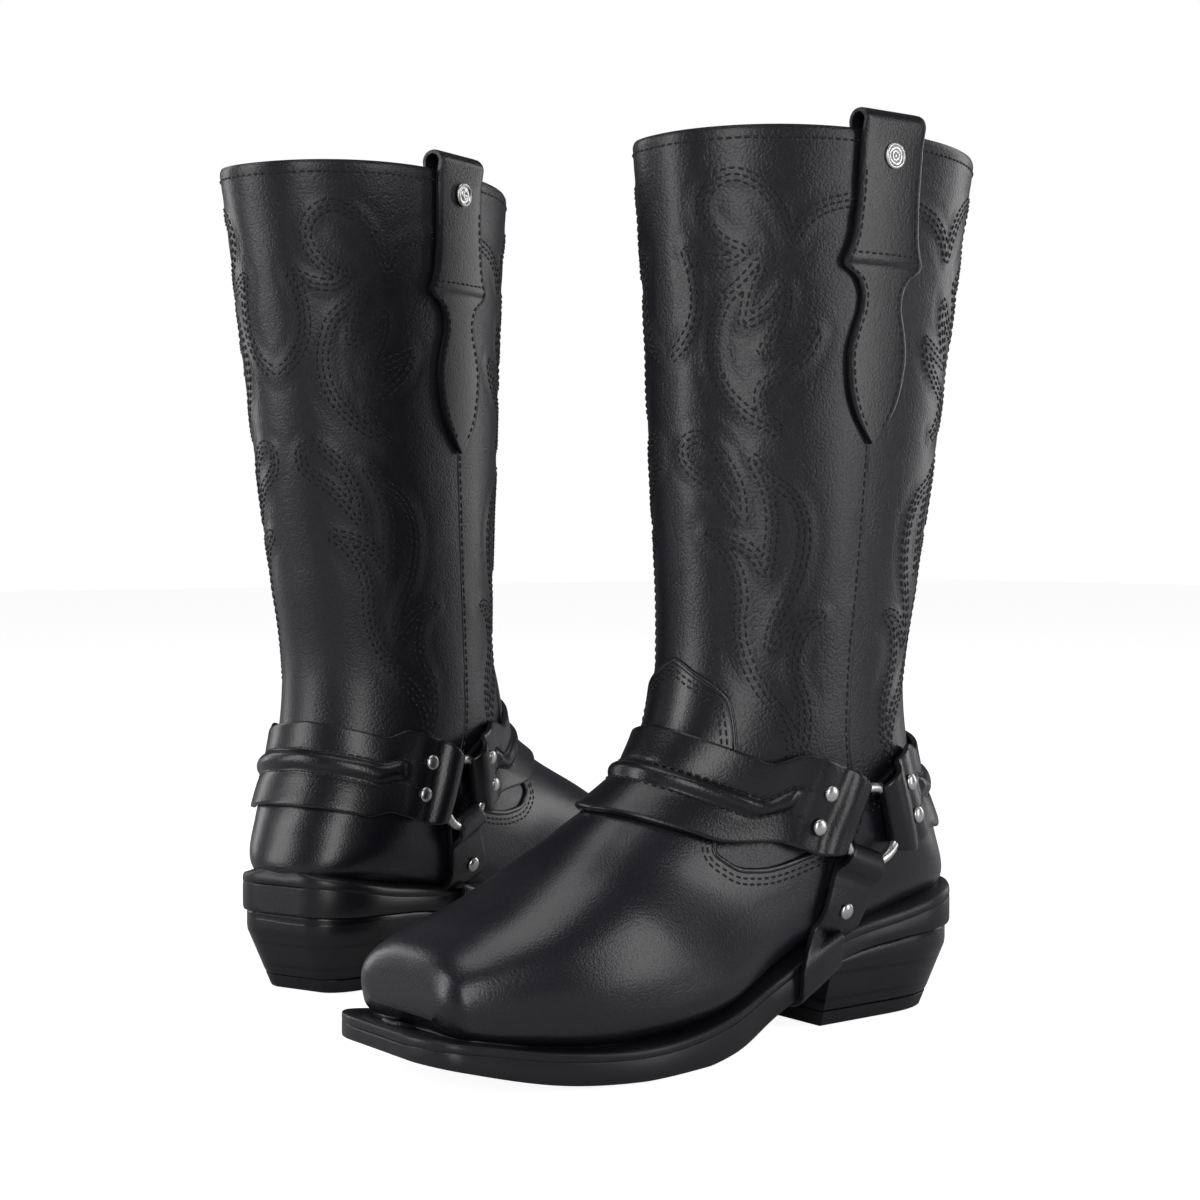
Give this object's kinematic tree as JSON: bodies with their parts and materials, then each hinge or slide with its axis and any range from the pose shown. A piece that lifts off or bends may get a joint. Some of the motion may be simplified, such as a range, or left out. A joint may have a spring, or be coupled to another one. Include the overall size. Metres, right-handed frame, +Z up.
{
  "type": "harness boots",
  "caption": "Pair of tall black pull-on leather boots with a ringed ankle harness, a stacked slanted heel, stitched shafts and studded pull straps.",
  "frame": {"origin": "centre of the pair's footprint, on the floor", "axes": "+Z up; -Y the way the left boot's toe points; +X from the right boot towards the left boot"},
  "size_m": [0.3168, 0.285, 0.3353],
  "materials": {
    "leather": "semi-gloss",
    "strap": "smooth semi-gloss",
    "rubber": "matte",
    "heel": "satin",
    "board": "matte",
    "sock": "matte",
    "steel": "satin",
    "nickel": "polished"
  },
  "bodies": {
    "left_boot": {"left_outsole": "rubber", "left_welt": "rubber", "left_heel_block": "heel", "left_heel_lift": "heel", "left_insole_board": "board", "left_shank": "steel", "left_sock_liner": "sock", "left_vamp": "leather", "left_heel_counter": "leather", "left_shaft_front": "leather", "left_shaft_back": "leather", "left_pull_strap_outer": "strap", "left_pull_strap_inner": "strap", "left_harness_front_strap": "strap", "left_harness_rear_strap": "strap", "left_harness_under_strap": "strap", "left_stud_outer": "nickel", "left_stud_inner": "nickel", "left_rivet_front_outer_upper": "nickel", "left_rivet_front_outer_lower": "nickel", "left_rivet_front_inner_upper": "nickel", "left_rivet_front_inner_lower": "nickel", "left_rivet_rear_outer_upper": "nickel", "left_rivet_rear_outer_lower": "nickel", "left_rivet_rear_inner_upper": "nickel", "left_rivet_rear_inner_lower": "nickel", "left_rivet_under_outer": "nickel", "left_rivet_under_inner": "nickel"},
    "left_ring_outer": {"left_ring_outer": "nickel"},
    "left_ring_inner": {"left_ring_inner": "nickel"},
    "right_boot": {"right_outsole": "rubber", "right_welt": "rubber", "right_heel_block": "heel", "right_heel_lift": "heel", "right_insole_board": "board", "right_shank": "steel", "right_sock_liner": "sock", "right_vamp": "leather", "right_heel_counter": "leather", "right_shaft_front": "leather", "right_shaft_back": "leather", "right_pull_strap_outer": "strap", "right_pull_strap_inner": "strap", "right_harness_front_strap": "strap", "right_harness_rear_strap": "strap", "right_harness_under_strap": "strap", "right_stud_outer": "nickel", "right_stud_inner": "nickel", "right_rivet_front_outer_upper": "nickel", "right_rivet_front_outer_lower": "nickel", "right_rivet_front_inner_upper": "nickel", "right_rivet_front_inner_lower": "nickel", "right_rivet_rear_outer_upper": "nickel", "right_rivet_rear_outer_lower": "nickel", "right_rivet_rear_inner_upper": "nickel", "right_rivet_rear_inner_lower": "nickel", "right_rivet_under_outer": "nickel", "right_rivet_under_inner": "nickel"},
    "right_ring_outer": {"right_ring_outer": "nickel"},
    "right_ring_inner": {"right_ring_inner": "nickel"}
  },
  "joints": [
    {"name": "right_boot_lift", "type": "slide", "parent": "left_boot", "child": "right_boot", "axis": [0, 0, 1], "range_m": [0, 0.4]},
    {"name": "left_ring_outer_turn", "type": "hinge", "parent": "left_boot", "child": "left_ring_outer", "pos_m": [0.1513, 0.042, 0.076], "axis": [1, 0, 0], "continuous": true},
    {"name": "left_ring_inner_turn", "type": "hinge", "parent": "left_boot", "child": "left_ring_inner", "pos_m": [0.0661, 0.042, 0.076], "axis": [1, 0, 0], "continuous": true},
    {"name": "right_ring_outer_turn", "type": "hinge", "parent": "right_boot", "child": "right_ring_outer", "pos_m": [-0.02138, -0.02157, 0.076], "axis": [0.9291, 0.3698, 0], "continuous": true},
    {"name": "right_ring_inner_turn", "type": "hinge", "parent": "right_boot", "child": "right_ring_inner", "pos_m": [-0.10054, -0.05307, 0.076], "axis": [0.9291, 0.3698, 0], "continuous": true}
  ]
}
